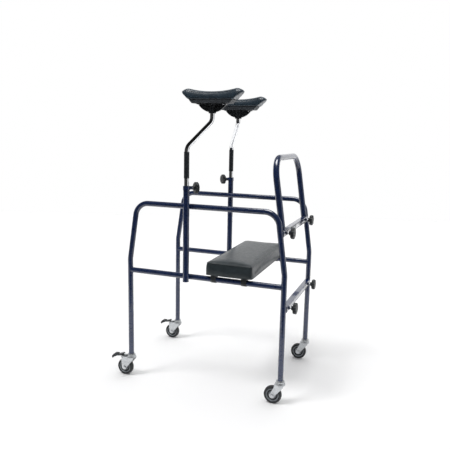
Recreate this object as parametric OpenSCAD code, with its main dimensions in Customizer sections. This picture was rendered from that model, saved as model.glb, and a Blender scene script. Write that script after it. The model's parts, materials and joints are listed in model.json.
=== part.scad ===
// Walking frame with armpit supports, seat, push handle and four swivel castors.
// Millimetres. +X is the walking direction, +Y the user's left, +Z up, floor at z = 0.

/* [Frame] */
// Distance between the side frames, tube centre to tube centre
track_w = 518; // [460:1:600]
// Distance from the middle of the side frame to each leg
leg_x = 372; // [340:1:420]
// Distance from the middle to each upper corner of the side frame
corner_x = 333; // [310:1:340]
// Height of the hand rail's centre line
rail_z = 850; // [800:1:900]
// Height of the middle rail's centre line
mid_z = 530; // [500:1:560]
// Height at which the legs start to lean inwards
knee_z = 583; // [570:1:640]
// Diameter of the frame tube
frame_d = 25; // [22:1:28]
// Wall of the frame tube
wall = 1.5; // [1.2:0.1:2.5]
// Bend radius at the upper corners
corner_r = 65; // [50:1:90]
// Height of the lower end of the legs
leg_end_z = 112; // [108:1:120]

/* [Support posts] */
// Position of the posts along the frame
post_x = 74; // [60:1:90]
// Outer diameter of the posts
post_d = 28; // [28:1:30]
// Lower end of the posts
post_low_z = 512; // [480:1:515]
// Upper end of the posts
post_top_z = 943; // [930:1:960]

/* [Armpit supports] */
// Diameter of the chromed stem
stem_d = 22; // [22:1:22]
// Rearward offset of the pad from its post
stem_back = 72; // [40:1:90]
// Inward offset of the pad from its post
stem_in = 110; // [80:1:125]
// Height of the lower bend of the stem
bend_low_z = 1109; // [1105:1:1125]
// Height of the upper bend of the stem
bend_high_z = 1224; // [1215:1:1240]
// Underside of the left pad bracket
bracket_z = 1258; // [1252:1:1262]
// How much lower the right pad bracket is seated on its stem
right_drop = 10; // [0:1:12]
// Length of the armpit pad
pad_l = 288; // [260:1:300]
// Width of the armpit pad
pad_w = 72; // [60:1:80]

/* [Seat] */
// Depth of the seat from front to back
seat_l = 220; // [180:1:224]
// Width of the seat across the rails
seat_w = 560; // [540:1:570]
// Thickness of the seat with its board
seat_t = 64; // [50:1:75]
// Position of the seat's middle along the frame
seat_x = -125; // [-150:0.5:-120]

/* [Push handle and cross tubes] */
// Distance from the centre to each leg of the push handle
handle_y = 217; // [200:1:220]
// Height of the push handle's centre line
handle_z = 1072; // [1000:1:1120]
// Tube diameter of the push handle
handle_d = 28; // [25:1:30]
// Bend radius of the push handle
handle_r = 90; // [70:1:110]
// Outer size of the square cross tubes
cross_s = 25; // [25:1:25]
// Height of the upper cross tube
cross_high_z = 757; // [740:1:770]
// Height of the lower cross tube
cross_low_z = 428; // [400:1:460]

/* [Castors] */
// Wheel diameter
wheel_d = 80; // [80:1:80]
// Tyre width
tyre_w = 24; // [22:1:25]
// Trail from the swivel axis to the axle
trail = 32; // [30:1:33]

/* [Hidden] */
$fn = 64;
side_y = track_w / 2;
frame_r = frame_d / 2;
bend_fit = 0.1;
bend_lap = 1;
knob_gap = 11.5;
knob_len = 25;
pedal_reach = 100;
lean = (leg_x - corner_x) / (rail_z - knee_z);
cross_high_x = -(leg_x - lean * (cross_high_z - knee_z));
cross_low_x = -leg_x;
// The origin is under the middle of the whole object's length
x_max = leg_x + pedal_reach;
x_min = cross_low_x - cross_s / 2 - knob_gap - knob_len;
x_mid = (x_max + x_min) / 2;

post_y = side_y + frame_r + post_d / 2 - 0.5;
post_r = post_d / 2;
post_bore_r = 12;
bush_h = 40;
collar_r = 15.5;
collar_h = 18;
boss_r = 8;
boss_end = 26;
boss_z = post_top_z - collar_h / 2;

stem_r = stem_d / 2;
stem_bore_r = stem_r - 1.5;
run_gap = 0.05;
stem_low_z = 720;
foot_h = 5;
stem_top_z = bracket_z + 26;
stem_bend_r = 40;
stem_reach = norm([stem_back, stem_in]);
stem_turn = atan2(-stem_in, -stem_back);
sleeve_r = 11.8;
sleeve_low_z = post_top_z + 33;
sleeve_high_z = bend_low_z - 19;

pad_x = post_x - stem_back;
pad_y = post_y - stem_in;
web_t = 12;
web_r = 79;
plate_z = bracket_z + 38;
base_z = plate_z + 4;
base_h = 16.7;
base_low = 88;
base_high = 103;
cushion_z = base_z + base_h + 0.3;
pad_valley = 35;
pad_crest = 49;
pad_tip = 34;
crest_x = 113;

seat_gap = 8;
seat_z = mid_z + frame_r + seat_gap;
board_t = 12;
board_in = 10;
seat_corner_r = 14;
clip_w = 25;
clip_r = 14.8;
clip_dx = [72, -70];

stud_r = 4;
knob_r = 25;
knob_hub_r = 9;
knob_hub_h = 9;
knob_head_h = knob_len - knob_hub_h;
knob_lobes = 7;
rear_knob_y = [199, 206];
stub_s = cross_s - 4.2;
stub_end_y = 150;
cross_half = side_y - frame_r - 3.5;
handle_tilt = atan2(-cross_high_x - 298, handle_z - cross_high_z);
handle_len = (handle_z - cross_high_z) / cos(handle_tilt);

wheel_r = wheel_d / 2;
core_r = 28.8;
axle_r = 4;
pin_r = 5;
crown_z = 91;
cup_top_z = leg_end_z - 10.3;
cheek_in = 14.5;
cheek_t = 3;
brake_x = 40;
brake_z = 90;
brake_pin_r = 3;

navy = [0.13, 0.18, 0.30];
black = [0.09, 0.10, 0.11];
zinc = [0.72, 0.74, 0.76];
chromed = [0.85, 0.87, 0.89];
vinyl = [0.16, 0.20, 0.25];
seat_vinyl = [0.20, 0.22, 0.23];
ply = [0.70, 0.56, 0.38];
grey = [0.55, 0.57, 0.59];
tyre_grey = [0.16, 0.17, 0.18];

// ---- Shared shapes ----

function unit(v) = v / norm(v);
function heading(v) = atan2(v[1], v[0]);

// Moves the model so that the origin is under its middle
module placed() { translate([-x_mid, 0, 0]) children(); }

// Solid rod along a planar path in XY, with a round bend at each inner point. Each bend is
// finer than its straights by bend_fit and enters them by bend_lap, so the two always join.
module bent_rod(pts, bends, r, over = 0) {
    n = len(pts);
    dirs = [for (i = [0:n - 2]) unit(pts[i + 1] - pts[i])];
    turns = [for (i = [1:n - 2]) acos(dirs[i - 1] * dirs[i])];
    cuts = [for (i = [0:n - 3]) bends[i] * tan(turns[i] / 2)];
    for (i = [0:n - 2]) {
        a = pts[i] + dirs[i] * (i == 0 ? -over : cuts[i - 1]);
        b = pts[i + 1] - dirs[i] * (i == n - 2 ? -over : cuts[i]);
        translate([a[0], a[1], 0]) rotate([0, 0, heading(dirs[i])])
            rotate([0, 90, 0]) cylinder(r = r, h = norm(b - a));
    }
    for (i = [1:n - 2]) {
        turn = turns[i - 1];
        lap = asin(bend_lap / bends[i - 1]);
        c = pts[i] + unit(dirs[i] - dirs[i - 1]) * bends[i - 1] / cos(turn / 2);
        left = dirs[i - 1][0] * dirs[i][1] - dirs[i - 1][1] * dirs[i][0] > 0;
        first = left ? pts[i] - dirs[i - 1] * cuts[i - 1] : pts[i] + dirs[i] * cuts[i - 1];
        translate([c[0], c[1], 0]) rotate([0, 0, heading(first - c) - lap])
            rotate_extrude(angle = turn + 2 * lap) translate([bends[i - 1], 0]) circle(r = r - bend_fit);
    }
}

module bent_tube(pts, bends, r, t) {
    difference() {
        bent_rod(pts, bends, r);
        bent_rod(pts, bends, r - t, 1);
    }
}

// Rectangle with round corners, centred
module round_rect(l, w, r) {
    square([l - 2 * r, w], center = true);
    square([l, w - 2 * r], center = true);
    for (sx = [-1, 1], sy = [-1, 1]) translate([sx * (l / 2 - r), sy * (w / 2 - r)]) circle(r = r);
}

// ---- Side frames ----

hoop_pts = [[-leg_x, leg_end_z], [-leg_x, knee_z], [-corner_x, rail_z],
            [corner_x, rail_z], [leg_x, knee_z], [leg_x, leg_end_z]];
hoop_bends = [120, corner_r, corner_r, 120];

module in_side_plane(s) { translate([0, s * side_y, 0]) rotate([90, 0, 0]) children(); }

module side_hoop(s) {
    color(navy) placed() in_side_plane(s) bent_tube(hoop_pts, hoop_bends, frame_r, wall);
}

module mid_rail(s) {
    color(navy) placed() translate([0, s * side_y, mid_z]) difference() {
        translate([-leg_x, 0, 0]) rotate([0, 90, 0]) cylinder(r = frame_r, h = 2 * leg_x);
        translate([-leg_x - 1, 0, 0]) rotate([0, 90, 0]) cylinder(r = frame_r - wall, h = 2 * leg_x + 2);
        for (x = [-leg_x, leg_x]) translate([x, 0, -40]) cylinder(r = frame_r, h = 80);
    }
}

// Post with collar and clamp boss, standing at its own axis; the boss points rearwards and inwards
module post_body() {
    difference() {
        union() {
            translate([0, 0, post_low_z]) cylinder(r = post_r, h = post_top_z - post_low_z);
            translate([0, 0, post_top_z - collar_h]) cylinder(r = collar_r, h = collar_h);
            clamp_axis() cylinder(r = boss_r, h = boss_end);
        }
        translate([0, 0, post_low_z - 1]) cylinder(r = post_bore_r, h = post_top_z - post_low_z + 2);
        clamp_axis() cylinder(r = stud_r + run_gap, h = boss_end + 1);
    }
}

// Local +Z runs outwards along the clamp screw of the left post
module clamp_axis() { translate([0, 0, boss_z]) rotate([0, 0, -135]) rotate([0, 90, 0]) children(); }

// The right post is the left one turned half a turn
module at_post(s) {
    translate([post_x, s * post_y, 0]) rotate([0, 0, s > 0 ? 0 : 180]) children();
}

module post(s) {
    color(navy) placed() difference() {
        at_post(s) post_body();
        for (z = [mid_z, rail_z]) translate([post_x - 30, s * side_y, z])
            rotate([0, 90, 0]) cylinder(r = frame_r, h = 60);
    }
}

module post_bushes() {
    color(black) placed() for (s = [-1, 1]) at_post(s) difference() {
        translate([0, 0, post_top_z - bush_h]) cylinder(r = post_bore_r, h = bush_h);
        translate([0, 0, post_top_z - bush_h - 1]) cylinder(r = stem_r + run_gap, h = bush_h + 2);
        clamp_axis() cylinder(r = stud_r + run_gap, h = boss_end);
    }
}

// ---- Rear cross tubes and push handle ----

module cross_stub(p, s, leg_tilt) {
    difference() {
        translate([p[0], s * (side_y + stub_end_y) / 2, p[1]])
            cube([stub_s, side_y - stub_end_y, stub_s], center = true);
        translate([p[0], s * side_y, p[1]]) rotate([0, leg_tilt, 0])
            cylinder(r = frame_r, h = 80, center = true);
    }
}

module cross_stubs() {
    color(navy) placed() for (s = [-1, 1]) {
        cross_stub([cross_high_x, cross_high_z], s, atan(lean));
        cross_stub([cross_low_x, cross_low_z], s, 0);
    }
}

module cross_tube(p, knob_y) {
    difference() {
        union() {
            translate([p[0], 0, p[1]]) cube([cross_s, 2 * cross_half, cross_s], center = true);
            for (s = [-1, 1]) translate([p[0] - cross_s / 2 - 6, s * knob_y, p[1]])
                rotate([0, 90, 0]) cylinder(r = 8, h = 7);
        }
        translate([p[0], 0, p[1]]) cube([cross_s - 4, 2 * cross_half + 2, cross_s - 4], center = true);
        for (s = [-1, 1]) translate([p[0] - cross_s / 2 - 7, s * knob_y, p[1]])
            rotate([0, 90, 0]) cylinder(r = stud_r + run_gap, h = 10);
    }
}

module cross_upper() { color(navy) placed() cross_tube([cross_high_x, cross_high_z], rear_knob_y[0]); }
module cross_lower() { color(navy) placed() cross_tube([cross_low_x, cross_low_z], rear_knob_y[1]); }

module push_handle() {
    pts = [[-handle_y, 0], [-handle_y, handle_len], [handle_y, handle_len], [handle_y, 0]];
    color(navy) placed() difference() {
        translate([cross_high_x, 0, cross_high_z]) rotate([0, handle_tilt, 0]) rotate([90, 0, 90])
            bent_tube(pts, [handle_r, handle_r], handle_d / 2, wall);
        translate([cross_high_x, 0, cross_high_z - 40 + cross_s / 2])
            cube([80, 2 * handle_y + 80, 80], center = true);
    }
}

// ---- Seat ----

module at_seat() { placed() translate([seat_x, 0, seat_z]) children(); }

module seat_board() {
    color(ply) at_seat() linear_extrude(board_t)
        round_rect(seat_l - 2 * board_in, seat_w - 2 * board_in, 8);
}

module seat_cushion() {
    color(seat_vinyl) at_seat() difference() {
        union() {
            linear_extrude(seat_t - 6) round_rect(seat_l, seat_w, seat_corner_r);
            translate([0, 0, seat_t - 7]) linear_extrude(7) round_rect(seat_l - 8, seat_w - 8, seat_corner_r);
        }
        translate([0, 0, -1]) linear_extrude(board_t + 1)
            round_rect(seat_l - 2 * board_in, seat_w - 2 * board_in, 8);
    }
}

// Clip round the middle rail, drawn at the rail's centre with the tab towards local -Y
module seat_clip() {
    top = seat_z - mid_z;
    difference() {
        union() {
            rotate([0, 90, 0]) cylinder(r = clip_r, h = clip_w, center = true);
            translate([-clip_w / 2, -14, 4]) cube([clip_w, 28, top - 4]);
            translate([-clip_w / 2, -36, top - 4]) cube([clip_w, 24, 4]);
        }
        rotate([0, 90, 0]) cylinder(r = frame_r + run_gap, h = clip_w + 2, center = true);
        rotate([-40, 0, 0]) translate([-clip_w, -5, -20]) cube([2 * clip_w, 10, 20]);
        translate([0, -27, top - 5]) cylinder(r = 2.3, h = 6);
    }
}

module at_clips() {
    placed() for (s = [-1, 1], dx = clip_dx)
        translate([seat_x + dx, s * side_y, mid_z]) mirror([0, s < 0 ? 1 : 0, 0]) children();
}

module seat_clips() { color(black) at_clips() seat_clip(); }

module seat_screws() {
    color(zinc) at_clips() translate([0, -27, seat_z - mid_z - 4]) {
        translate([0, 0, -2.5]) cylinder(r = 4.5, h = 2.5);
        cylinder(r = 2.2, h = 4);
    }
}

// ---- Armpit supports ----

// Local +X of the stem plane points from the post towards the pad
module at_support(s) {
    placed() translate([post_x, s * post_y, 0]) rotate([0, 0, s * stem_turn]) children();
}

// Upper part of the bent tube, from the foot of its sleeve to the pad
module stem(s) {
    pts = [[0, sleeve_low_z], [0, bend_low_z], [stem_reach, bend_high_z], [stem_reach, stem_top_z]];
    color(chromed) at_support(s) rotate([90, 0, 0])
        bent_tube(pts, [stem_bend_r, stem_bend_r], stem_r, stem_r - stem_bore_r);
}

module stem_sleeve(s) {
    color(black) at_support(s) difference() {
        translate([0, 0, sleeve_low_z]) cylinder(r = sleeve_r, h = sleeve_high_z - sleeve_low_z);
        translate([0, 0, sleeve_low_z - 1]) cylinder(r = stem_r, h = sleeve_high_z - sleeve_low_z + 2);
    }
}

// Straight lower part of the tube, closed at its foot, which slides in the post
module stem_rod(s) {
    length = sleeve_low_z - stem_low_z;
    color(chromed) at_support(s) translate([0, 0, stem_low_z]) difference() {
        cylinder(r = stem_r, h = length);
        translate([0, 0, foot_h]) cylinder(r = stem_bore_r, h = length);
    }
}

function drop(s) = s > 0 ? 0 : right_drop;
module at_pad(s) { placed() translate([pad_x, s * pad_y, -drop(s)]) children(); }

module pad_bracket(s) {
    color(black) at_pad(s) difference() {
        union() {
            intersection() {
                translate([0, 0, bracket_z + 4 + web_r]) rotate([90, 0, 0])
                    cylinder(r = web_r, h = web_t, center = true, $fn = 96);
                translate([0, 0, bracket_z + plate_z - bracket_z - 25]) cube([200, 60, 50], center = true);
            }
            translate([0, 0, bracket_z]) cylinder(r = 16.5, h = 5);
            translate([0, 0, bracket_z]) cylinder(r = 14, h = plate_z - bracket_z);
            translate([0, 0, plate_z]) linear_extrude(4) round_rect(136, 50, 8);
        }
        translate([0, 0, bracket_z - 1]) cylinder(r = stem_r, h = plate_z - bracket_z);
    }
}

module pad_base(s) {
    color(black) at_pad(s) translate([0, 0, base_z]) rotate([90, 0, 0])
        linear_extrude(pad_w - 10, center = true)
            polygon([[-base_low, 0], [base_low, 0], [base_high, base_h], [-base_high, base_h]]);
}

// Side view of the saddle-shaped pad, from its underside up
function pad_profile() = concat(
    [[-base_high - 1, 0], [base_high + 1, 0], [pad_l / 2, pad_tip]],
    [for (x = [crest_x:-12.5:-crest_x - 1])
        [x, pad_valley + (pad_crest - pad_valley) * pow(x / crest_x, 2)]],
    [[-pad_l / 2, pad_tip]]);

module armpit_pad(s) {
    color(vinyl) at_pad(s) translate([0, 0, cushion_z]) intersection() {
        rotate([90, 0, 0]) linear_extrude(pad_w, center = true) polygon(pad_profile());
        translate([0, 0, -1]) linear_extrude(pad_crest + 2) round_rect(pad_l, pad_w, pad_w / 2 - 0.5);
    }
}

// ---- Clamp knobs ----

// Lobed hand knob, local +Z outwards, starting at the hub
module knob_shape() {
    difference() {
        rotate_extrude() polygon([[0, 0], [knob_hub_r, 0], [knob_hub_r + 2, knob_hub_h - 1],
            [knob_r - 2, knob_hub_h], [knob_r, knob_hub_h + 2], [knob_r, knob_len - 3],
            [knob_r - 3, knob_len - 0.5], [12, knob_len], [11, knob_len - 1.5], [0, knob_len - 1.5]]);
        translate([0, 0, -1]) cylinder(r = stud_r, h = knob_len - 6);
        for (i = [0:knob_lobes - 1]) rotate([0, 0, i * 360 / knob_lobes])
            translate([knob_r + 4, 0, knob_hub_h - 1]) cylinder(r = 7, h = knob_head_h + 2);
    }
}

module stud_shape(tip) { translate([0, 0, tip]) cylinder(r = stud_r, h = knob_len - 8 - tip); }

module at_post_knob(s) { placed() at_post(s) clamp_axis() translate([0, 0, 29]) children(); }

module at_rear_knob(p, y) {
    placed() translate([p[0] - cross_s / 2 - knob_gap, y, p[1]]) rotate([0, -90, 0]) children();
}

module at_upper_knob(s) { at_rear_knob([cross_high_x, cross_high_z], s * rear_knob_y[0]) children(); }
module at_lower_knob(s) { at_rear_knob([cross_low_x, cross_low_z], s * rear_knob_y[1]) children(); }

module knob_post(s) { color(black) at_post_knob(s) knob_shape(); }
module knob_upper(s) { color(black) at_upper_knob(s) knob_shape(); }
module knob_lower(s) { color(black) at_lower_knob(s) knob_shape(); }
module stud_post(s) { color(zinc) at_post_knob(s) stud_shape(stem_r + 0.3 - 29); }
module stud_upper(s) { color(zinc) at_upper_knob(s) stud_shape(-knob_gap - 1.8); }
module stud_lower(s) { color(zinc) at_lower_knob(s) stud_shape(-knob_gap - 1.8); }

// ---- Castors ----

module at_leg(e, s) { placed() translate([e * leg_x, s * side_y, 0]) children(); }
module at_axle(e, s) { at_leg(e, s) translate([trail, 0, wheel_r]) rotate([90, 0, 0]) children(); }

module castor_plugs() {
    color(black) for (e = [-1, 1], s = [-1, 1]) at_leg(e, s) translate([0, 0, leg_end_z])
        cylinder(r = frame_r - wall, h = 45);
}

module castor_races() {
    color(zinc) for (e = [-1, 1], s = [-1, 1]) at_leg(e, s) {
        translate([0, 0, leg_end_z - 4]) cylinder(r = 15, h = 4);
        translate([0, 0, leg_end_z - 10]) cylinder(r = 19, h = 6);
        translate([0, 0, crown_z - 1]) cylinder(r = pin_r, h = leg_end_z - 10 - crown_z + 2);
        translate([0, 0, crown_z - 3.3]) cylinder(r = 8, h = 3);
    }
}

module cheek(front) {
    rotate([90, 0, 0]) linear_extrude(cheek_t, center = true) {
        polygon([[-17, crown_z + 3], [front, crown_z + 3], [front, brake_z - 8],
                 [trail + 12, wheel_r], [trail - 12, wheel_r], [-17, brake_z - 5]]);
        translate([trail, wheel_r]) circle(r = 12);
    }
}

module fork(e, s) {
    braked = e > 0;
    front = braked ? brake_x + 7 : 24;
    span = cheek_in + cheek_t;
    color(zinc) at_leg(e, s) difference() {
        union() {
            translate([0, 0, crown_z]) cylinder(r = 22, h = 4);
            translate([0, 0, crown_z + 4]) cylinder(r = 20, h = cup_top_z - crown_z - 4);
            translate([-17, -span, crown_z]) cube([braked ? 38 : 41, 2 * span, 3]);
            for (y = [-1, 1]) translate([0, y * (cheek_in + cheek_t / 2), 0]) cheek(front);
        }
        translate([0, 0, crown_z - 1]) cylinder(r = pin_r + run_gap, h = 20);
        translate([trail, 0, wheel_r]) rotate([90, 0, 0]) cylinder(r = axle_r, h = 60, center = true);
        if (braked) translate([brake_x, 0, brake_z]) rotate([90, 0, 0])
            cylinder(r = brake_pin_r + run_gap, h = 60, center = true);
    }
}

module core(e, s) {
    color(grey) at_axle(e, s) difference() {
        union() {
            cylinder(r = core_r, h = 10, center = true);
            difference() {
                cylinder(r = core_r, h = tyre_w - 3, center = true);
                cylinder(r = core_r - 3, h = tyre_w, center = true);
            }
            cylinder(r = 9, h = 2 * cheek_in - 1, center = true);
        }
        cylinder(r = axle_r + run_gap, h = 60, center = true);
    }
}

module tyre(e, s) {
    half = tyre_w / 2;
    color(tyre_grey) at_axle(e, s) rotate_extrude($fn = 96)
        polygon([[core_r, -half + 1], [wheel_r - 5, -half], [wheel_r - 1.5, -half + 3], [wheel_r, -half + 6],
                 [wheel_r, half - 6], [wheel_r - 1.5, half - 3], [wheel_r - 5, half], [core_r, half - 1]]);
}

module axle(e, s) {
    end = cheek_in + cheek_t;
    color(zinc) at_axle(e, s) {
        cylinder(r = axle_r, h = 2 * end + 8, center = true);
        translate([0, 0, end]) cylinder(r = 7, h = 4, $fn = 6);
        translate([0, 0, -end - 4]) cylinder(r = 7.5, h = 4);
    }
}

// Brake pedal: rocker on the fork with a toe pad in front and a release pad behind
module brake(s) {
    toe = pedal_reach - brake_x;
    color(black) at_leg(1, s) translate([brake_x, 0, brake_z]) rotate([90, 0, 0]) {
        cylinder(r = brake_pin_r, h = 2 * (cheek_in + cheek_t) + 3, center = true);
        linear_extrude(2 * cheek_in - 1.5, center = true) {
            circle(r = 6);
            polygon([[-4, 3], [-4, 8], [14, 8], [40, 2], [40, -2], [14, 0], [13, -9.5], [8, -9], [4, -4]]);
        }
        linear_extrude(38, center = true) polygon([[36, -4], [37, 6], [toe - 2, 3], [toe, 0],
            [toe - 1, -11], [toe - 6, -12], [toe - 9, -5]]);
        translate([0, 6, 0]) linear_extrude(27, center = true) polygon([[-6, 0], [-4, 9], [14, 7], [14, 0]]);
    }
}

// ---- Node selection ----

side_hoop(1);  // side_hoop_l
side_hoop(-1);  // side_hoop_r
mid_rail(1);  // mid_rail_l
mid_rail(-1);  // mid_rail_r
post(1);  // post_l
post(-1);  // post_r
post_bushes();
cross_stubs();
cross_upper();
cross_lower();
push_handle();
castor_plugs();
castor_races();
seat_board();
seat_cushion();
seat_clips();
seat_screws();
stem(1);  // stem_l
stem(-1);  // stem_r
stem_sleeve(1);  // stem_sleeve_l
stem_sleeve(-1);  // stem_sleeve_r
stem_rod(1);  // stem_rod_l
stem_rod(-1);  // stem_rod_r
pad_bracket(1);  // pad_bracket_l
pad_bracket(-1);  // pad_bracket_r
pad_base(1);  // pad_base_l
pad_base(-1);  // pad_base_r
armpit_pad(1);  // armpit_pad_l
armpit_pad(-1);  // armpit_pad_r
knob_post(1);  // knob_post_l
knob_post(-1);  // knob_post_r
knob_upper(1);  // knob_upper_l
knob_upper(-1);  // knob_upper_r
knob_lower(1);  // knob_lower_l
knob_lower(-1);  // knob_lower_r
stud_post(1);  // stud_post_l
stud_post(-1);  // stud_post_r
stud_upper(1);  // stud_upper_l
stud_upper(-1);  // stud_upper_r
stud_lower(1);  // stud_lower_l
stud_lower(-1);  // stud_lower_r
fork(1, 1);  // fork_fl
fork(1, -1);  // fork_fr
fork(-1, 1);  // fork_rl
fork(-1, -1);  // fork_rr
core(1, 1);  // core_fl
core(1, -1);  // core_fr
core(-1, 1);  // core_rl
core(-1, -1);  // core_rr
tyre(1, 1);  // tyre_fl
tyre(1, -1);  // tyre_fr
tyre(-1, 1);  // tyre_rl
tyre(-1, -1);  // tyre_rr
axle(1, 1);  // axle_fl
axle(1, -1);  // axle_fr
axle(-1, 1);  // axle_rl
axle(-1, -1);  // axle_rr
brake(1);  // brake_l
brake(-1);  // brake_r
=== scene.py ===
import bpy
import bmesh
import json
import math
import numpy as np
from mathutils import Matrix, Vector
from mathutils.bvhtree import BVHTree

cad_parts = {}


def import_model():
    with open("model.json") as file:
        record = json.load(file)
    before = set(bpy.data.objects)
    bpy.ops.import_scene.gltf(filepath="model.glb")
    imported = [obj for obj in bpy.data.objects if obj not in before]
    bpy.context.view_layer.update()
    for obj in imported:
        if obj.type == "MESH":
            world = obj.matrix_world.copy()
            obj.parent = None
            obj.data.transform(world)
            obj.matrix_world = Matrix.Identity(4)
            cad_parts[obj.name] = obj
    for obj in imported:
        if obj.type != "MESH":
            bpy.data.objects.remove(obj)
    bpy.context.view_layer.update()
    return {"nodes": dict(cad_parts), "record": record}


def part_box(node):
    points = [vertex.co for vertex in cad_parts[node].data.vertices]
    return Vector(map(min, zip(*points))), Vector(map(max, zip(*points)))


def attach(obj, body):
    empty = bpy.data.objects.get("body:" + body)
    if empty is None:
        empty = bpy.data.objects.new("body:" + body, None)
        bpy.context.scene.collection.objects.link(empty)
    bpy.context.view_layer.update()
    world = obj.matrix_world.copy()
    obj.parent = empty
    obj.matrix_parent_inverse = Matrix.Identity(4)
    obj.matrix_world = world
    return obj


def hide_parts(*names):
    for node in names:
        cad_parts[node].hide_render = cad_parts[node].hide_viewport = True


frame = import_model()
scene = bpy.context.scene
nodes = frame["nodes"]

# ---------------------------------------------------------------- materials


def srgb(hexcode):
    """Linear colour of a six-digit screen colour."""
    out = []
    for i in (0, 2, 4):
        c = int(hexcode[i:i + 2], 16) / 255
        out.append(c / 12.92 if c <= 0.04045 else ((c + 0.055) / 1.055) ** 2.4)
    return (*out, 1.0)


# Places of the colour sockets on a Mix node
MIX_FACTOR, MIX_A, MIX_B, MIX_RESULT = 0, 6, 7, 2


class Mat:
    """A procedural material in object coordinates, built up a layer at a time."""

    def __init__(self, name, **shader):
        self.mat = bpy.data.materials.new(name)
        self.mat.use_nodes = True
        self.tree = self.mat.node_tree
        self.bsdf = self.tree.nodes["Principled BSDF"]
        for key, value in shader.items():
            self.bsdf.inputs[key.replace("_", " ")].default_value = value
        self.coords = self.tree.nodes.new("ShaderNodeTexCoord").outputs["Object"]

    def node(self, kind, **props):
        n = self.tree.nodes.new(kind)
        for key, value in props.items():
            setattr(n, key, value)
        return n

    def link(self, a, b):
        self.tree.links.new(a, b)

    def scaled(self, factors):
        m = self.node("ShaderNodeMapping")
        m.inputs["Scale"].default_value = factors
        self.link(self.coords, m.inputs["Vector"])
        return m.outputs["Vector"]

    def noise(self, scale, detail=3.0, rough=0.55, stretch=None, distortion=0.0):
        n = self.node("ShaderNodeTexNoise")
        n.inputs["Scale"].default_value = scale
        n.inputs["Detail"].default_value = detail
        n.inputs["Roughness"].default_value = rough
        n.inputs["Distortion"].default_value = distortion
        self.link(self.scaled(stretch) if stretch else self.coords, n.inputs["Vector"])
        return n.outputs["Fac"]

    def cells(self, scale, feature="DISTANCE_TO_EDGE"):
        n = self.node("ShaderNodeTexVoronoi", feature=feature)
        n.inputs["Scale"].default_value = scale
        self.link(self.coords, n.inputs["Vector"])
        return n.outputs["Distance"]

    def ramp(self, value, stops):
        r = self.node("ShaderNodeValToRGB")
        e = r.color_ramp.elements
        while len(e) < len(stops):
            e.new(0.5)
        for i, (at, colour) in enumerate(stops):
            e[i].position = at
            e[i].color = colour if len(colour) == 4 else (*colour, 1)
        self.link(value, r.inputs["Fac"])
        return r.outputs["Color"]

    def span(self, value, low, high, a, b):
        m = self.node("ShaderNodeMapRange")
        for key, v in (("From Min", low), ("From Max", high), ("To Min", a), ("To Max", b)):
            m.inputs[key].default_value = v
        self.link(value, m.inputs["Value"])
        return m.outputs["Result"]

    def mix(self, factor, a, b):
        """Blends two colours, each a constant or a socket, by a factor socket."""
        m = self.node("ShaderNodeMix", data_type="RGBA")
        self.link(factor, m.inputs[MIX_FACTOR])
        for index, v in ((MIX_A, a), (MIX_B, b)):
            if hasattr(v, "links"):
                self.link(v, m.inputs[index])
            else:
                m.inputs[index].default_value = v
        return m.outputs[MIX_RESULT]

    def colour(self, socket):
        self.link(socket, self.bsdf.inputs["Base Color"])
        return self

    def rough(self, socket):
        self.link(socket, self.bsdf.inputs["Roughness"])
        return self

    def bump(self, layers):
        """layers: (height socket, strength, distance in metres), from the coarsest to the finest."""
        last = None
        for height, strength, distance in layers:
            b = self.node("ShaderNodeBump")
            b.inputs["Strength"].default_value = strength
            b.inputs["Distance"].default_value = distance
            self.link(height, b.inputs["Height"])
            if last:
                self.link(last, b.inputs["Normal"])
            last = b.outputs["Normal"]
        self.link(last, self.bsdf.inputs["Normal"])
        return self


def shade(colour, k):
    """Lighter or darker version of a colour."""
    return (min(1, colour[0] * k), min(1, colour[1] * k), min(1, colour[2] * k), 1)


def paint():
    """Glossy navy powder coat."""
    base = srgb("1b2c52")
    m = Mat("navy_paint", Metallic=0.0, IOR=1.5, Coat_Weight=1.0, Coat_Roughness=0.05)
    m.colour(m.mix(m.span(m.noise(34, 4), 0.35, 0.7, 0, 1), shade(base, 0.86), shade(base, 1.14)))
    m.rough(m.span(m.noise(120, 3), 0.3, 0.7, 0.24, 0.36))
    return m.bump([(m.noise(260, 2), 0.03, 0.0002), (m.noise(2600, 2), 0.02, 0.00005)]).mat


def chrome():
    """Polished chrome with faint unevenness."""
    m = Mat("chrome", Metallic=1.0)
    m.colour(m.mix(m.span(m.noise(60, 3), 0.35, 0.7, 0, 1), (0.86, 0.87, 0.89, 1), (0.93, 0.94, 0.95, 1)))
    m.rough(m.span(m.noise(40, 3), 0.4, 0.75, 0.05, 0.075))
    return m.bump([(m.noise(30, 1), 0.015, 0.0004)]).mat


def zinc():
    """Bright zinc plating with fine crystals."""
    m = Mat("zinc", Metallic=1.0)
    flecks = m.ramp(m.cells(420, "F1"), [
        (0.0, (0.50, 0.52, 0.54)), (0.6, (0.66, 0.68, 0.70)), (1, (0.76, 0.77, 0.78))])
    m.colour(m.mix(m.span(m.noise(70, 3), 0.4, 0.7, 0, 0.5), flecks, (0.42, 0.43, 0.44, 1)))
    m.rough(m.span(m.noise(260, 4), 0.3, 0.7, 0.22, 0.42))
    return m.bump([(m.noise(900, 2), 0.15, 0.0002)]).mat


def plastic(name, hexcode, low, high, dust=0.25, grain=1500):
    """Moulded plastic with a roughness from low to high and a film of dust in places."""
    base = srgb(hexcode)
    m = Mat(name, Metallic=0.0, IOR=1.46)
    clean = m.mix(m.span(m.noise(45, 3), 0.35, 0.7, 0, 1), shade(base, 0.85), shade(base, 1.2))
    m.colour(m.mix(m.span(m.noise(160, 5, 0.65), 0.52, 0.8, 0, dust), clean, (0.16, 0.155, 0.14, 1)))
    m.rough(m.span(m.noise(90, 3), 0.3, 0.7, low, high))
    return m.bump([(m.noise(grain, 3), 0.25, 0.0003), (m.cells(2400, "F1"), 0.12, 0.0001)]).mat


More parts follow.
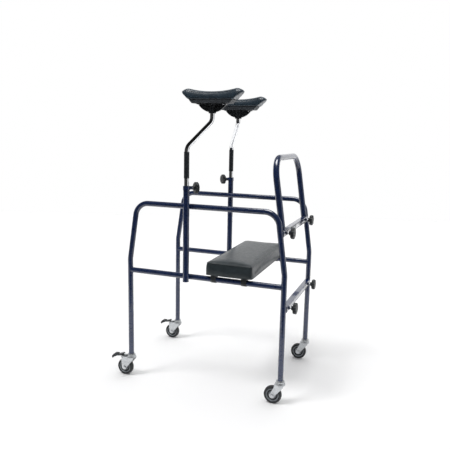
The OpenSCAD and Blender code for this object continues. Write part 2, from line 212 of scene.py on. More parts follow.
def vinyl(name, hexcode, low, high, sheen, coat, specular=0.5):
    """Upholstery vinyl with pores, painted shade darkening the creases between them, and a roughness from low
    to high.
    """
    base = srgb(hexcode)
    m = Mat(name, Metallic=0.0, IOR=1.52, Sheen_Weight=sheen, Sheen_Roughness=0.45, Coat_Weight=coat,
            Coat_Roughness=0.22, Specular_IOR_Level=specular)
    grain_and_crease_shade = m.cells(620)
    tone = m.mix(m.span(m.noise(26, 4), 0.35, 0.68, 0, 1), shade(base, 0.84), shade(base, 1.18))
    # The creases between the pores are darkened in the colour: painted shade
    m.colour(m.mix(m.span(grain_and_crease_shade, 0.0, 0.09, 0.35, 0.0), tone, shade(base, 0.55)))
    m.rough(m.span(m.noise(75, 4), 0.3, 0.7, low, high))
    return m.bump([
        (m.noise(55, 3), 0.12, 0.0010),
        (m.span(grain_and_crease_shade, 0.0, 0.16, 0, 1), 0.22, 0.00025),
        (m.noise(2600, 2), 0.10, 0.0001),
    ]).mat


def plywood():
    """Stained edge of plywood."""
    m = Mat("plywood", Metallic=0.0, IOR=1.45)
    grain = m.noise(16, 6, 0.6, stretch=(9, 1, 9), distortion=0.5)
    m.colour(m.ramp(grain, [(0.3, srgb("1d1a18")), (0.5, srgb("2c2723")), (0.75, srgb("3b342d"))]))
    m.rough(m.span(grain, 0.3, 0.7, 0.5, 0.7))
    return m.bump([(grain, 0.3, 0.0005)]).mat


def rubber_tyre():
    """Grey-black rubber with scuffed, dusty patches."""
    base = srgb("2b2d30")
    m = Mat("tyre", Metallic=0.0, IOR=1.5)
    clean = m.mix(m.span(m.noise(50, 3), 0.35, 0.7, 0, 1), shade(base, 0.8), shade(base, 1.15))
    m.colour(m.mix(m.span(m.noise(140, 5, 0.7), 0.5, 0.75, 0, 0.35), clean, (0.20, 0.19, 0.175, 1)))
    m.rough(m.span(m.noise(110, 3), 0.3, 0.7, 0.45, 0.7))
    return m.bump([(m.noise(1300, 3), 0.3, 0.0004)]).mat


MATS = {
    "navy_paint": paint(),
    "chrome": chrome(),
    "zinc": zinc(),
    "black_plastic": plastic("black_plastic", "2a2d31", low=0.34, high=0.52),
    "sleeve_black": plastic("sleeve_black", "2a2f33", low=0.36, high=0.5, dust=0.12, grain=1100),
    "pad_vinyl": vinyl("pad_vinyl", "33424e", low=0.30, high=0.42, sheen=0.02, coat=0.3),
    "seat_vinyl": vinyl("seat_vinyl", "31393d", low=0.28, high=0.40, sheen=0.12, coat=0.0, specular=0.45),
    "plywood": plywood(),
    "wheel_grey": plastic("wheel_grey", "8b9196", low=0.38, high=0.55, dust=0.3, grain=1200),
    "tyre": rubber_tyre(),
}
slot_of = {s["node"]: s["material_slot"] for s in frame["record"]["subparts"]}
joints = {j["name"]: j for j in frame["record"]["behaviour"]["joints"]}
for name, obj in nodes.items():
    obj.data.materials.clear()
    obj.data.materials.append(MATS[slot_of[name]])


def soften(obj, width):
    """Rounded edges on a CAD part: its faces are joined first, so that the bevel finds their shared edges."""
    join_gap, sharp_angle = 0.00001, 35
    weld = obj.modifiers.new("join", "WELD")
    weld.merge_threshold = join_gap
    bevel = obj.modifiers.new("edges", "BEVEL")
    bevel.width, bevel.segments = width, 2
    bevel.limit_method, bevel.angle_limit = "ANGLE", math.radians(sharp_angle)
    bevel.harden_normals = True


def wrapped_board():
    """Dull grey vinyl wrapped round the base boards of the armpit pads."""
    m = Mat("board_wrap", Metallic=0.0, IOR=1.48)
    base = srgb("484c51")
    tone = m.mix(m.span(m.noise(30, 4), 0.35, 0.7, 0, 1), shade(base, 0.8), shade(base, 1.2))
    # The creases between the grain cells are darkened in the colour: painted shade
    m.colour(m.mix(m.span(m.cells(900), 0.0, 0.1, 0.3, 0.0), tone, shade(base, 0.6)))
    m.rough(m.span(m.noise(90, 3), 0.3, 0.7, 0.45, 0.6))
    return m.bump([(m.noise(60, 3), 0.2, 0.0008), (m.noise(1500, 2), 0.2, 0.0002)]).mat


wrap = wrapped_board()
for side in "lr":
    nodes["pad_base_" + side].data.materials[0] = wrap

# Edge radius of each CAD part whose name starts this way
EDGE_RADII = {"fork_": 0.0008, "seat_clips": 0.0012, "pad_bracket_": 0.0012, "pad_base_": 0.0025,
              "cross_upper": 0.0016, "cross_lower": 0.0016, "castor_races": 0.0006, "knob_": 0.0012,
              "seat_board": 0.0015}
for name, obj in nodes.items():
    for start, width in EDGE_RADII.items():
        if name.startswith(start):
            soften(obj, width)

# ---------------------------------------------------------------- soft pieces


def mesh_object(name, verts, faces, slot):
    """Smooth-shaded piece in a material slot, with its faces turned outwards."""
    me = bpy.data.meshes.new(name)
    me.from_pydata([tuple(v) for v in verts], [], faces)
    me.validate()
    bm = bmesh.new()
    bm.from_mesh(me)
    bmesh.ops.recalc_face_normals(bm, faces=bm.faces)
    bm.to_mesh(me)
    bm.free()
    for p in me.polygons:
        p.use_smooth = True
    obj = bpy.data.objects.new(name, me)
    scene.collection.objects.link(obj)
    me.materials.append(MATS[slot])
    return obj


def loft(name, rings, slot):
    """Closed skin through rings of equal length, with a point closing each end."""
    n = len(rings[0])
    verts = [p for ring in rings for p in ring]
    faces = [
        (i * n + j, i * n + (j + 1) % n, (i + 1) * n + (j + 1) % n, (i + 1) * n + j)
        for i in range(len(rings) - 1)
        for j in range(n)
    ]
    for ring, order in ((0, 1), (len(rings) - 1, -1)):
        verts.append(tuple(np.mean(rings[ring], axis=0)))
        c = len(verts) - 1
        for j in range(n):
            a, b = ring * n + j, ring * n + (j + 1) % n
            faces.append((c, b, a) if order == 1 else (c, a, b))
    return mesh_object(name, verts, faces, slot)


def tube(name, points, radius, slot, closed=True, sides=8):
    """Thin round bead along a line of points, which is a loop or has two closed ends."""
    pts = np.array(points, float)
    n = len(pts)
    rings = []
    upward, sideways, parallel = Vector((0, 0, 1)), Vector((0, 1, 0)), 1e-4
    for i in range(n):
        a = pts[(i - 1) % n] if closed or i else pts[i]
        b = pts[(i + 1) % n] if closed or i < n - 1 else pts[i]
        t = Vector(b - a).normalized()
        u = t.cross(upward)
        if u.length < parallel:
            u = t.cross(sideways)
        u.normalize()
        v = t.cross(u).normalized()
        c = Vector(pts[i])
        rings.append([
            c + radius * (math.cos(2 * math.pi * k / sides) * u + math.sin(2 * math.pi * k / sides) * v)
            for k in range(sides)
        ])
    if not closed:
        return loft(name, rings, slot)
    verts = [p for ring in rings for p in ring]
    faces = [
        (i * sides + j, i * sides + (j + 1) % sides,
         ((i + 1) % n) * sides + (j + 1) % sides, ((i + 1) % n) * sides + j)
        for i in range(n)
        for j in range(sides)
    ]
    return mesh_object(name, verts, faces, slot)


def swell(obj, voxel, pressure, cap, pinned):
    """Turns a firm start shape into a filled cushion: remesh, inflate as cloth, keep every move under cap."""
    last_frame = 20
    bpy.context.view_layer.objects.active = obj
    remesh = obj.modifiers.new("remesh", "REMESH")
    remesh.mode, remesh.voxel_size = "VOXEL", voxel
    with bpy.context.temp_override(object=obj, active_object=obj):
        bpy.ops.object.modifier_apply(modifier="remesh")
    co = np.empty(len(obj.data.vertices) * 3)
    obj.data.vertices.foreach_get("co", co)
    rest = co.reshape(-1, 3).copy()
    group = obj.vertex_groups.new(name="pin")
    held = [i for i, p in enumerate(rest) if pinned(p)]
    group.add(held, 1.0, "REPLACE")
    cloth = obj.modifiers.new("cloth", "CLOTH")
    s = cloth.settings
    s.quality = 5
    s.mass = 0.3
    s.tension_stiffness = s.compression_stiffness = 22
    s.shear_stiffness = 12
    s.bending_stiffness = 3
    s.use_pressure = True
    s.uniform_pressure_force = pressure
    s.vertex_group_mass = "pin"
    s.effector_weights.gravity = 0
    cloth.point_cache.frame_start, cloth.point_cache.frame_end = 1, last_frame
    for f in range(1, last_frame + 1):
        scene.frame_set(f)
    shaped = obj.evaluated_get(bpy.context.evaluated_depsgraph_get())
    moved = np.array([v.co for v in shaped.data.vertices])
    step = moved - rest
    size = np.linalg.norm(step, axis=1, keepdims=True)
    step *= np.minimum(1, cap / np.maximum(size, 1e-9))
    obj.modifiers.remove(cloth)
    obj.data.vertices.foreach_set("co", (rest + step).ravel())
    obj.data.update()
    scene.frame_set(1)
    for p in obj.data.polygons:
        p.use_smooth = True


def subdivide(obj):
    m = obj.modifiers.new("subdivide", "SUBSURF")
    m.levels = m.render_levels = 1


def section(theta, power):
    """Point at an angle round a superellipse of half-width and half-height 1."""
    c, s = math.cos(theta), math.sin(theta)
    return (math.copysign(abs(c) ** (2 / power), c), math.copysign(abs(s) ** (2 / power), s))


def on_surface(obj, line, out):
    """Moves each point of a line to the nearest place on a piece, standing out from it by a set distance."""
    tree = BVHTree.FromObject(obj, bpy.context.evaluated_depsgraph_get())
    laid = []
    for p in line:
        place, normal, _, _ = tree.find_nearest(Vector(p))
        laid.append(place + out * normal)
    return laid


def evened(line):
    """Averages each point of a closed line with its neighbours, twice."""
    for _ in range(2):
        n = len(line)
        line = [(line[i - 1] + 2 * line[i] + line[(i + 1) % n]) / 4 for i in range(n)]
    return line


def armpit_pad(side):
    """Saddle-shaped pad: dips along its middle, rises to two crests and closes in sloping, rounded tips."""
    lo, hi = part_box("armpit_pad_" + side)
    cx, cy = (lo.x + hi.x) / 2, (lo.y + hi.y) / 2
    longer, slimmer = 0.0025, 0.0015  # what the swelling takes off the ends and adds to the sides
    half, wide = (hi.x - lo.x) / 2 + longer, (hi.y - lo.y) / 2 - slimmer
    base, crest = lo.z, hi.z - lo.z
    crest_x, valley, tip = 0.113, 0.035, 0.0335
    bend_x, taper_x = 0.104, 0.108
    waist_share, drawn_in = 0.10, 0.03
    round_above, boxed_below = 2.15, 6

    def top(x):
        a = abs(x)
        if a <= crest_x:
            return base + valley + (crest - valley) * (a / crest_x) ** 2.1
        return base + crest - (crest - tip - 0.002) * ((a - crest_x) / (half - crest_x)) ** 1.8

    def under(x):
        a = abs(x)
        return base + 0.0003 + (tip - 0.001) * max(0.0, (a - bend_x) / (half - bend_x))

    def width(x):
        k = max(0.0, (abs(x) - taper_x) / (half - taper_x))
        return max(wide * (1 - k ** 2.4) ** 0.55, 0.004)

    def skin(x, t):
        """Point of the pad's surface at length x and angle t round the section: round above, boxed below."""
        upper = t < math.pi
        y, z = section(t, round_above if upper else boxed_below)
        z0, z1 = under(x), top(x)
        waist = z0 + waist_share * (z1 - z0)
        rise = z1 - waist if upper else waist - z0
        drawn = 1.0 if upper else 1.0 + drawn_in * z
        return Vector((cx + x, cy + width(x) * y * drawn, waist + max(rise, 0.0005) * z))

    last_ring = 0.9985  # its distance from the middle, as a share of the half-length
    xs = [half * math.sin(t) * last_ring for t in np.linspace(-math.pi / 2, math.pi / 2, 63)]
    pad = loft("pad_" + side, [[skin(x, 2 * math.pi * k / 48) for k in range(48)] for x in xs], "pad_vinyl")
    swell(pad, voxel=0.0045, pressure=3.0, cap=0.0018, pinned=lambda p: p[2] < base + 0.003)
    subdivide(pad)
    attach(pad, "support_" + side)
    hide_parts("armpit_pad_" + side)

    # One welt round each side panel: along the top, down the end, back along the bottom and up again
    corner, lean, welt_r, welt_out = 0.128, 0.020, 0.0013, 0.0002
    upper, lower = math.radians(48), math.radians(-62)
    run = [corner * math.sin(t) for t in np.linspace(-math.pi / 2, math.pi / 2, 60)]
    turn = np.linspace(0, 1, 14)[1:-1]
    loop = [skin(x, upper) for x in run]
    loop += [skin(corner - lean * k, upper + (lower - upper) * k) for k in turn]
    loop += [skin(x, lower) for x in np.linspace(corner - lean, lean - corner, 40)]
    loop += [skin(lean * (1 - k) - corner, lower + (upper - lower) * k) for k in turn]
    for tag, mirror in (("out", 1), ("in", -1)):
        line = [Vector((p.x, cy + mirror * (p.y - cy), p.z)) for p in loop]
        line = evened(on_surface(pad, line, welt_out))
        welt = tube(f"pad_welt_{tag}_{side}", line, welt_r, "pad_vinyl")
        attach(welt, "support_" + side)


for side in "lr":
    armpit_pad(side)


def seat():
    """Thick seat cushion: crowned top, sides drawn in between the corners, welts round both edges."""
    lo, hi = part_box("seat_cushion")
    cx, cy = (lo.x + hi.x) / 2, (lo.y + hi.y) / 2
    slimmer, lift = 0.002, 0.0005
    hx, hy = (hi.x - lo.x) / 2 - slimmer, (hi.y - lo.y) / 2 - slimmer
    z0, tall = lo.z + lift, hi.z - lo.z - lift
    corner, edge = 0.011, 0.0085
    end_steps, long_steps = 16, 44
    pull, side_band = 0.0022, 0.03
    shoulder, welt_r, welt_out = 0.915, 0.0024, 0.0003
    least_r = 0.002

    def outline(inset):
        """Rounded rectangle a given distance inside the edge, always with the same number of points."""
        lx, ly = hx - inset, hy - inset
        r = max(min(corner, lx - least_r), least_r)
        pts = []
        for qx, qy, start, steps in ((1, 1, 0, end_steps), (-1, 1, 90, long_steps),
                                     (-1, -1, 180, end_steps), (1, -1, 270, long_steps)):
            for k in range(7):
                a = math.radians(start + 15 * k)
                pts.append((qx * (lx - r) + r * math.cos(a), qy * (ly - r) + r * math.sin(a)))
            ex, ey = pts[-1]
            length = 2 * (lx - r) if steps == end_steps else 2 * (ly - r)
            dx, dy = -math.sin(math.radians(start + 90)), math.cos(math.radians(start + 90))
            pts += [(ex + dx * length * k / steps, ey + dy * length * k / steps) for k in range(1, steps)]
        return pts

    def drawn_in(p, amount):
        """Pulls the sides in between the corners."""
        x, y = p
        kx = amount * (1 - (y / hy) ** 2) if abs(x) > hx - side_band else 0
        ky = amount * (1 - (x / hx) ** 2) if abs(y) > hy - side_band else 0
        return (x - math.copysign(kx, x), y - math.copysign(ky, y))

    def level(height, inset):
        pts = outline(inset)
        if inset <= edge:
            pts = [drawn_in(p, pull) for p in pts]
        return [Vector((cx + x, cy + y, z0 + tall * height)) for x, y in pts]

    rings = [level(h, inset) for h, inset in (
        (0.00, 0.0012), (0.05, 0.0004), (0.14, 0.0), (0.30, -0.0006), (0.46, -0.0010), (0.62, -0.0006),
        (0.76, 0.0), (0.85, 0.0010), (0.895, 0.0030), (shoulder, edge))]
    for k in (0.12, 0.25, 0.42, 0.62, 0.82):
        rings.append(level(shoulder + (1 - shoulder) * (1 - (1 - k) ** 2.6), edge + k * (hx - edge)))
    cushion = loft("seat_pad", rings, "seat_vinyl")
    swell(cushion, voxel=0.0048, pressure=3.0, cap=0.0022, pinned=lambda p: p[2] < z0 + 0.003)
    subdivide(cushion)
    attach(cushion, "seat")
    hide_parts("seat_cushion")
    for tag, height, inset in (("top", 0.885, 0.0016), ("low", 0.05, 0.0008)):
        line = evened(on_surface(cushion, level(height, inset), welt_out))
        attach(tube(f"seat_welt_{tag}", line, welt_r, "seat_vinyl"), "seat")


seat()

# ---------------------------------------------------------------- rigid detail

RAIL_R = 0.0125  # frame tube
POST_R = 0.014  # support post


def lathe(name, profile, centre, axis, slot, steps=64):
    """Ring of revolution from a closed loop of (radius, distance along the axis) points."""
    same_point = 0.000005
    axis = Vector(axis).normalized()
    u = axis.orthogonal().normalized()
    v = axis.cross(u)
    centre = Vector(centre)
    n = len(profile)
    verts = [
        centre + r * (math.cos(a) * u + math.sin(a) * v) + h * axis
        for a in (2 * math.pi * k / steps for k in range(steps))
        for r, h in profile
    ]
    faces = [
        (k * n + i, k * n + (i + 1) % n, ((k + 1) % steps) * n + (i + 1) % n, ((k + 1) % steps) * n + i)
        for k in range(steps)
        for i in range(n)
    ]
    obj = mesh_object(name, verts, faces, slot)
    bm = bmesh.new()
    bm.from_mesh(obj.data)
    bmesh.ops.remove_doubles(bm, verts=bm.verts, dist=same_point)
    bmesh.ops.recalc_face_normals(bm, faces=bm.faces)
    bm.to_mesh(obj.data)
    bm.free()
    crease(obj)
    return obj


def crease(obj):
    """Keeps sharp edges sharp on an otherwise smooth mesh."""
    limit = math.radians(40)
    bm = bmesh.new()
    bm.from_mesh(obj.data)
    for e in bm.edges:
        e.smooth = not (len(e.link_faces) == 2 and e.calc_face_angle(0) > limit)
    bm.to_mesh(obj.data)
    bm.free()


def extruded(name, outline, width, centre, slot, bevel):
    """Side outline of (x, z) points about a centre, made solid to a width along Y, with rounded edges."""
    n = len(outline)
    cx, cy, cz = centre
    verts = [(cx + x, cy + face * width / 2, cz + z) for face in (-1, 1) for x, z in outline]
    faces = [tuple(range(n)), tuple(range(2 * n - 1, n - 1, -1))]
    faces += [(i, (i + 1) % n, n + (i + 1) % n, n + i) for i in range(n)]
    obj = mesh_object(name, verts, faces, slot)
    m = obj.modifiers.new("edges", "BEVEL")
    m.width, m.segments, m.harden_normals = bevel, 3, True
    m.limit_method, m.angle_limit = "ANGLE", math.radians(20)
    return obj


def wheel(tag):
    """Tyre with rounded shoulders on a dished plastic core with a rim lip, a recess darkened by a dark ring
    of painted shade, a hub and ribs.

    Each outline is the outer half of a section: (radius, distance from the wheel's middle plane).
    """
    lo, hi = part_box("tyre_" + tag)
    centre, axle, body = (lo + hi) / 2, (0, 1, 0), "wheel_" + tag
    big, half = (hi.z - lo.z) / 2, (hi.y - lo.y) / 2
    seat_r = 0.72 * big
    lip, web = seat_r - 0.0032, 0.0056
    shoulder = [(seat_r, half - 0.0022), (seat_r + 0.0008, half - 0.0012), (seat_r + 0.0030, half - 0.0004),
                (big - 0.0062, half), (big - 0.0034, half - 0.0006), (big - 0.0014, half - 0.0028),
                (big - 0.0003, half - 0.0058)]
    profile = shoulder + [(big, 0.0)] + [(r, -h) for r, h in reversed(shoulder)]
    tyre = lathe("wheel_tyre_" + tag, profile, centre, axle, "tyre", 96)
    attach(tyre, body)
    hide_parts("tyre_" + tag)
    dish = [(seat_r + 0.0002, half - 0.0035), (seat_r - 0.0003, half - 0.0012), (lip + 0.0006, half - 0.0010),
            (lip, half - 0.0020), (lip - 0.0008, web), (0.0165, 0.0050), (0.0120, web), (0.0110, 0.0100),
            (0.0104, half + 0.0014), (0.0096, half + 0.0020), (0.0043, half + 0.0020)]
    profile = dish + [(r, -h) for r, h in reversed(dish)]
    core = lathe("wheel_core_" + tag, profile, centre, axle, "wheel_grey", 96)
    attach(core, body)
    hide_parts("core_" + tag)
    for face, out in (("out", 1), ("in", -1)):
        # Dark ring laid in the recess on each face: painted shade, darker than the recess's depth alone makes
        # it
        ring = [(lip - 0.0012, web), (lip - 0.0016, 0.0068), (0.0190, 0.0064), (0.0180, 0.0054)]
        ring = [(r, out * h) for r, h in ring]
        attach(lathe(f"wheel_recess_shade_{tag}_{face}", ring, centre, axle, "tyre"), body)
    ribs, rib_r, rib_start, rib_end = 10, 0.0009, 0.0112, 0.0178
    for k in range(ribs):
        a = 2 * math.pi * (k + 0.5) / ribs
        for face, out in (("out", 1), ("in", -1)):
            line = [centre + Vector((r * math.cos(a), out * web, r * math.sin(a)))
                    for r in np.linspace(rib_start, rib_end, 4)]
            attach(tube(f"wheel_rib_{tag}_{face}_{k}", line, rib_r, "wheel_grey", False, 6), body)


def brake(side):
    """Rocker pedal: a bent steel lever with a hooked toe pad at its end and a release pad behind.

    Each outline is a side view about the pivot: (distance forward, height).
    """
    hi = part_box("brake_" + side)[1]
    px, py, pz = joints[f"brake_{side}_press"]["pos_m"]
    reach = hi.x - px
    lever = [(-0.005, -0.004), (-0.004, 0.004), (0.012, 0.0055), (0.030, 0.0015), (reach - 0.006, 0.0010),
             (reach - 0.006, -0.0012), (0.029, -0.0012), (0.011, 0.0028), (0.004, -0.0085), (-0.001, -0.0080)]
    arm = extruded("brake_lever_" + side, lever, 0.022, (px, py, pz), "zinc", 0.0006)
    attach(arm, "brake_" + side)
    hook = [(0.034, 0.0008), (0.036, 0.0050), (0.042, 0.0064), (0.050, 0.0050), (reach - 0.002, 0.0010),
            (reach, -0.0015), (reach - 0.0010, -0.0115), (reach - 0.0060, -0.0120), (reach - 0.0085, -0.0050),
            (0.042, -0.0032)]
    toe = extruded("brake_toe_" + side, hook, 0.038, (px, py, pz), "black_plastic", 0.0016)
    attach(toe, "brake_" + side)
    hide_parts("brake_" + side)
    release = [(0.0300, 0.0030), (0.0290, 0.0070), (0.010, 0.0135), (0.0045, 0.0145), (0.0020, 0.0125),
               (0.0040, 0.0085), (0.0120, 0.0050)]
    heel = extruded("brake_release_" + side, release, 0.027, (px, py, pz), "black_plastic", 0.0014)
    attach(heel, "brake_" + side)
    grips, grip_x, grip_z, pitch, fall = 4, 0.043, 0.0064, 0.0035, 0.0004
    grip_half, grip_r = 0.0165, 0.0008
    for k in range(grips):
        x = px + grip_x + pitch * k
        z = pz + grip_z - fall * k
        line = [(x, py + along, z) for along in (-grip_half, 0, grip_half)]
        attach(tube(f"brake_grip_{side}_{k}", line, grip_r, "black_plastic", False, 6), "brake_" + side)


def bead(name, line, radius, closed=True):
    """Painted weld bead on the frame."""
    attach(tube(name, line, radius, "navy_paint", closed, 8), "frame")


def turns(count):
    """Equal angles round a full turn."""
    return [2 * math.pi * k / count for k in range(count)]


def welds():
    """Painted weld beads where the tubes of the frame meet."""
    end_bow, spot_r, half_square, sunk = 0.0018, 0.0068, 0.0104, 0.0003
    arc_r, arc, steps = 0.0142, 110, 14
    rail_bead, thick_bead, stub_bead = 0.0014, 0.0018, 0.0012
    for side in "lr":
        lo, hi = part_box("mid_rail_" + side)
        cy, cz = (lo.y + hi.y) / 2, (lo.z + hi.z) / 2
        for end, x, sign in (("front", hi.x, -1), ("rear", lo.x, 1)):
            line = [(x + sign * math.hypot(RAIL_R * math.sin(t), end_bow), cy + RAIL_R * math.cos(t),
                     cz + RAIL_R * math.sin(t)) for t in turns(48)]
            bead(f"weld_{end}_{side}", line, rail_bead)
        px, py, _ = joints["support_turn_" + side]["pos_m"]
        out = math.copysign(1, py)
        top_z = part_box("side_hoop_" + side)[1].z - RAIL_R
        for tag, z in (("mid", cz), ("top", top_z)):
            line = []
            for t in turns(32):
                dx, dz = spot_r * math.cos(t), spot_r * math.sin(t)
                at_post = abs(py) - math.sqrt(POST_R ** 2 - dx ** 2)
                at_rail = abs(cy) + math.sqrt(RAIL_R ** 2 - dz ** 2)
                line.append((px + dx, out * (at_post + at_rail) / 2, z + dz))
            bead(f"weld_post_{tag}_{side}", line, thick_bead)
    leg_y = abs(cy)
    for tag in ("upper", "lower"):
        lo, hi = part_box("cross_" + tag)
        x, z = hi.x - RAIL_R, (lo.z + hi.z) / 2
        for side, sign in (("l", 1), ("r", -1)):
            line = []
            for t in turns(40):
                k = half_square / max(abs(math.cos(t)), abs(math.sin(t)))
                dx, dz = k * math.cos(t), k * math.sin(t)
                y = leg_y - math.sqrt(RAIL_R ** 2 - dx ** 2) - sunk
                line.append((x + dx, sign * y, z + dz))
            bead(f"weld_stub_{tag}_{side}", line, stub_bead)
    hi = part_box("cross_upper")[1]
    x, z = hi.x - RAIL_R, hi.z
    for side, sign in (("l", 1), ("r", -1)):
        y = (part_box("push_handle")[1].y - POST_R) * sign
        for tag, start in (("out", 35), ("in", 215)):
            line = [(x + arc_r * math.cos(a), y + arc_r * math.sin(a), z)
                    for a in (math.radians(start + arc * k / steps) for k in range(steps + 1))]
            bead(f"weld_handle_{tag}_{side}", line, thick_bead, False)


def label():
    """Blank identity plate on the rear face of the upper cross tube."""
    lo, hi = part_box("cross_upper")
    x, z = hi.x - 2 * RAIL_R - 0.0002, (lo.z + hi.z) / 2
    hy, hz, r, to_right = 0.046, 0.0085, 0.0015, 0.014
    ring = []
    for qy, qz, start in ((1, 1, 0), (-1, 1, 90), (-1, -1, 180), (1, -1, 270)):
        for k in range(5):
            a = math.radians(start + 90 * k / 4)
            ring.append((qy * (hy - r) + r * math.cos(a), qz * (hz - r) + r * math.sin(a)))
    levels = ((0.0003, 0.0), (-0.0003, 0.0), (-0.0005, 0.0004))
    rings = [[(x + dx, y * (1 - inset / hy) - to_right, z + w * (1 - inset / hz)) for y, w in ring]
             for dx, inset in levels]
    plate = loft("label_plate", rings, "zinc")
    plate.data.materials.clear()
    plate.data.materials.append(label_finish())
    crease(plate)
    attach(plate, "frame")


def label_finish():
    """Pale, glossy film with nothing printed on it."""
    m = Mat("label_film", Metallic=0.3, IOR=1.5, Coat_Weight=0.5, Coat_Roughness=0.08)
    tone = m.span(m.noise(90, 3), 0.35, 0.7, 0, 1)
    m.colour(m.mix(tone, (0.62, 0.63, 0.66, 1), (0.74, 0.75, 0.78, 1)))
    m.rough(m.span(m.noise(200, 2), 0.3, 0.7, 0.18, 0.3))
    return m.bump([(m.noise(700, 2), 0.08, 0.0001)]).mat


def knob_caps():
    """Domed plug in the recess of each clamp knob, as (radius, height) points."""
    dome = [(0.0, 0.0), (0.0104, 0.0), (0.0104, 0.0005), (0.0096, 0.0010), (0.0070, 0.0014), (0.0035, 0.0016),
            (0.0, 0.0017)]
    for place, out in (("post", 0.0125), ("upper", 0.0175), ("lower", 0.0175)):
        for side in "lr":
            j = joints[f"clamp_{place}_{side}_turn"]
            axis = Vector(j["axis"])
            centre = Vector(j["pos_m"]) + out * axis
            cap = lathe(f"knob_cap_{place}_{side}", dome, centre, axis, "black_plastic", 32)
            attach(cap, f"clamp_{place}_{side}")


def pad_screws():
    """Pan heads under each bracket plate, as (radius, height) points."""
    plate, along, across = 0.004, 0.058, 0.017
    head = [(0.0, -0.0002), (0.0038, -0.0002), (0.0038, 0.0008), (0.0031, 0.0017), (0.0019, 0.0021),
            (0.0014, 0.0012), (0.0, 0.0012)]
    for side in "lr":
        lo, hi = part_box("pad_bracket_" + side)
        cx, cy, z = (lo.x + hi.x) / 2, (lo.y + hi.y) / 2, hi.z - plate
        for k, (dx, dy) in enumerate((x, y) for x in (-along, along) for y in (-across, across)):
            screw = lathe(f"pad_screw_{side}_{k}", head, (cx + dx, cy + dy, z), (0, 0, -1), "zinc", 24)
            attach(screw, "support_" + side)


for tag in ("fl", "fr", "rl", "rr"):
    wheel(tag)
for side in "lr":
    brake(side)
welds()
label()
knob_caps()
pad_screws()

# ---------------------------------------------------------------- stage, light and camera


def world():
    """White backdrop beyond the object, dim room on the other sides, plain white where seen directly."""
    studio = bpy.data.worlds.new("studio")
    studio.use_nodes = True
    scene.world = studio
    tree = studio.node_tree
    back = tree.nodes["Background"]
    coords = tree.nodes.new("ShaderNodeTexCoord")

    def toward(direction, low, high, dim, bright):
        """Strength that goes from dim to bright as a ray's direction nears the given one."""
        dot = tree.nodes.new("ShaderNodeVectorMath")
        dot.operation = "DOT_PRODUCT"
        dot.inputs[1].default_value = Vector(direction).normalized()
        tree.links.new(coords.outputs["Generated"], dot.inputs[0])
        span = tree.nodes.new("ShaderNodeMapRange")
        span.interpolation_type = "SMOOTHSTEP"
        for key, v in (("From Min", low), ("From Max", high), ("To Min", dim), ("To Max", bright)):
            span.inputs[key].default_value = v
        tree.links.new(dot.outputs["Value"], span.inputs["Value"])
        return span.outputs["Result"]

    def combine(operation, a, b):
        m = tree.nodes.new("ShaderNodeMath")
        m.operation = operation
        tree.links.new(a, m.inputs[0])
        tree.links.new(b, m.inputs[1])
        return m.outputs[0]

    above_floor = toward((0, 0, 1), low=-0.32, high=-0.2, dim=0.0, bright=1.0)
    near_horizon = toward((0, 0, 1), low=0.22, high=0.6, dim=1.0, bright=0.2)
    backdrop = toward((0.34, -0.93, 0.05), low=0.35, high=0.75, dim=0.04, bright=1.0)
    backdrop = combine("MULTIPLY", backdrop, combine("MULTIPLY", above_floor, near_horizon))
    window = toward((-1.0, -0.1, -0.1), low=0.955, high=0.985, dim=0.0, bright=1.5)
    path = tree.nodes.new("ShaderNodeLightPath")
    pick = tree.nodes.new("ShaderNodeMix")
    factor, when_lit, when_seen = pick.inputs[0], pick.inputs[2], pick.inputs[3]
    tree.links.new(path.outputs["Is Camera Ray"], factor)
    tree.links.new(combine("ADD", backdrop, window), when_lit)
    when_seen.default_value = 1.0
    tree.links.new(pick.outputs[0], back.inputs["Strength"])
    back.inputs["Color"].default_value = (1, 1, 1, 1)


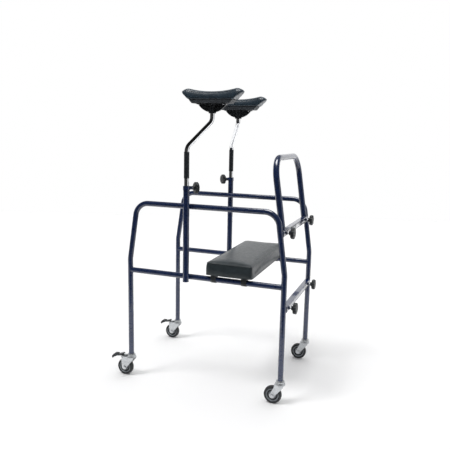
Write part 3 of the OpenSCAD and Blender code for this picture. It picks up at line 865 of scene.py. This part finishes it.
def sun(name, direction, strength, spread, gloss):
    """Soft distant light, seen only in the gloss of surfaces, chrome apart, or only in their own colour."""
    light = bpy.data.lights.new(name, "SUN")
    light.energy, light.angle = strength, math.radians(spread)
    obj = bpy.data.objects.new(name, light)
    obj.visible_glossy, obj.visible_diffuse = gloss, not gloss
    if gloss:
        mirrors = bpy.data.collections.new("mirrors")
        for node, part in nodes.items():
            if slot_of[node] == "chrome":
                mirrors.objects.link(part)
        for item in mirrors.collection_objects:
            item.light_linking.link_state = "EXCLUDE"
        obj.light_linking.receiver_collection = mirrors
    obj.rotation_euler = Vector(direction).to_track_quat("-Z", "Y").to_euler()
    scene.collection.objects.link(obj)


def floor():
    """Pale sheet that ends a little on the camera's side and runs on behind the frame."""
    m = Mat("studio_floor", Roughness=0.8)
    m.colour(m.ramp(m.noise(3, 2), [(0.3, (0.94, 0.94, 0.945)), (0.7, (0.96, 0.96, 0.96))]))
    m.bump([(m.noise(200, 2), 0.02, 0.0005)])
    away, across = Vector((0.34, -0.94, 0)).normalized(), Vector((0.94, 0.34, 0)).normalized()
    near, far, half = -1.15, 5.0, 3.5
    me = bpy.data.meshes.new("floor")
    corners = [near * away - half * across, near * away + half * across, far * away + half * across,
               far * away - half * across]
    me.from_pydata([tuple(c) for c in corners], [], [(0, 1, 2, 3)])
    obj = bpy.data.objects.new("floor", me)
    me.materials.append(m.mat)
    scene.collection.objects.link(obj)


def camera():
    """The photo's view: from the user's left and a little behind, with a slight roll."""
    azimuth, elevation, roll = math.radians(200.29), math.radians(9.60), math.radians(1.16)
    back = Vector((math.sin(azimuth) * math.cos(elevation), -math.cos(azimuth) * math.cos(elevation),
                   math.sin(elevation)))
    right = (-back).cross(Vector((0, 0, 1))).normalized()
    up = right.cross(-back)
    right, up = (math.cos(roll) * right + math.sin(roll) * up, math.cos(roll) * up - math.sin(roll) * right)
    cam = bpy.data.cameras.new("camera")
    cam.sensor_width, cam.lens = 36, 41.9
    obj = bpy.data.objects.new("camera", cam)
    turn = Matrix((right, up, back)).transposed().to_4x4()
    place = (-0.9025, 2.363, 1.159)
    obj.matrix_world = Matrix.Translation(place) @ turn
    scene.collection.objects.link(obj)
    scene.camera = obj


world()
floor()
camera()
sun("strip", (-0.34, -0.35, -0.87), strength=1.2, spread=16, gloss=False)
sun("soft_top", (0.25, 0.1, -1.0), strength=2.4, spread=120, gloss=False)
sun("overhead", (0, 0, -1), strength=3.0, spread=36, gloss=True)
scene.view_settings.view_transform = "Standard"
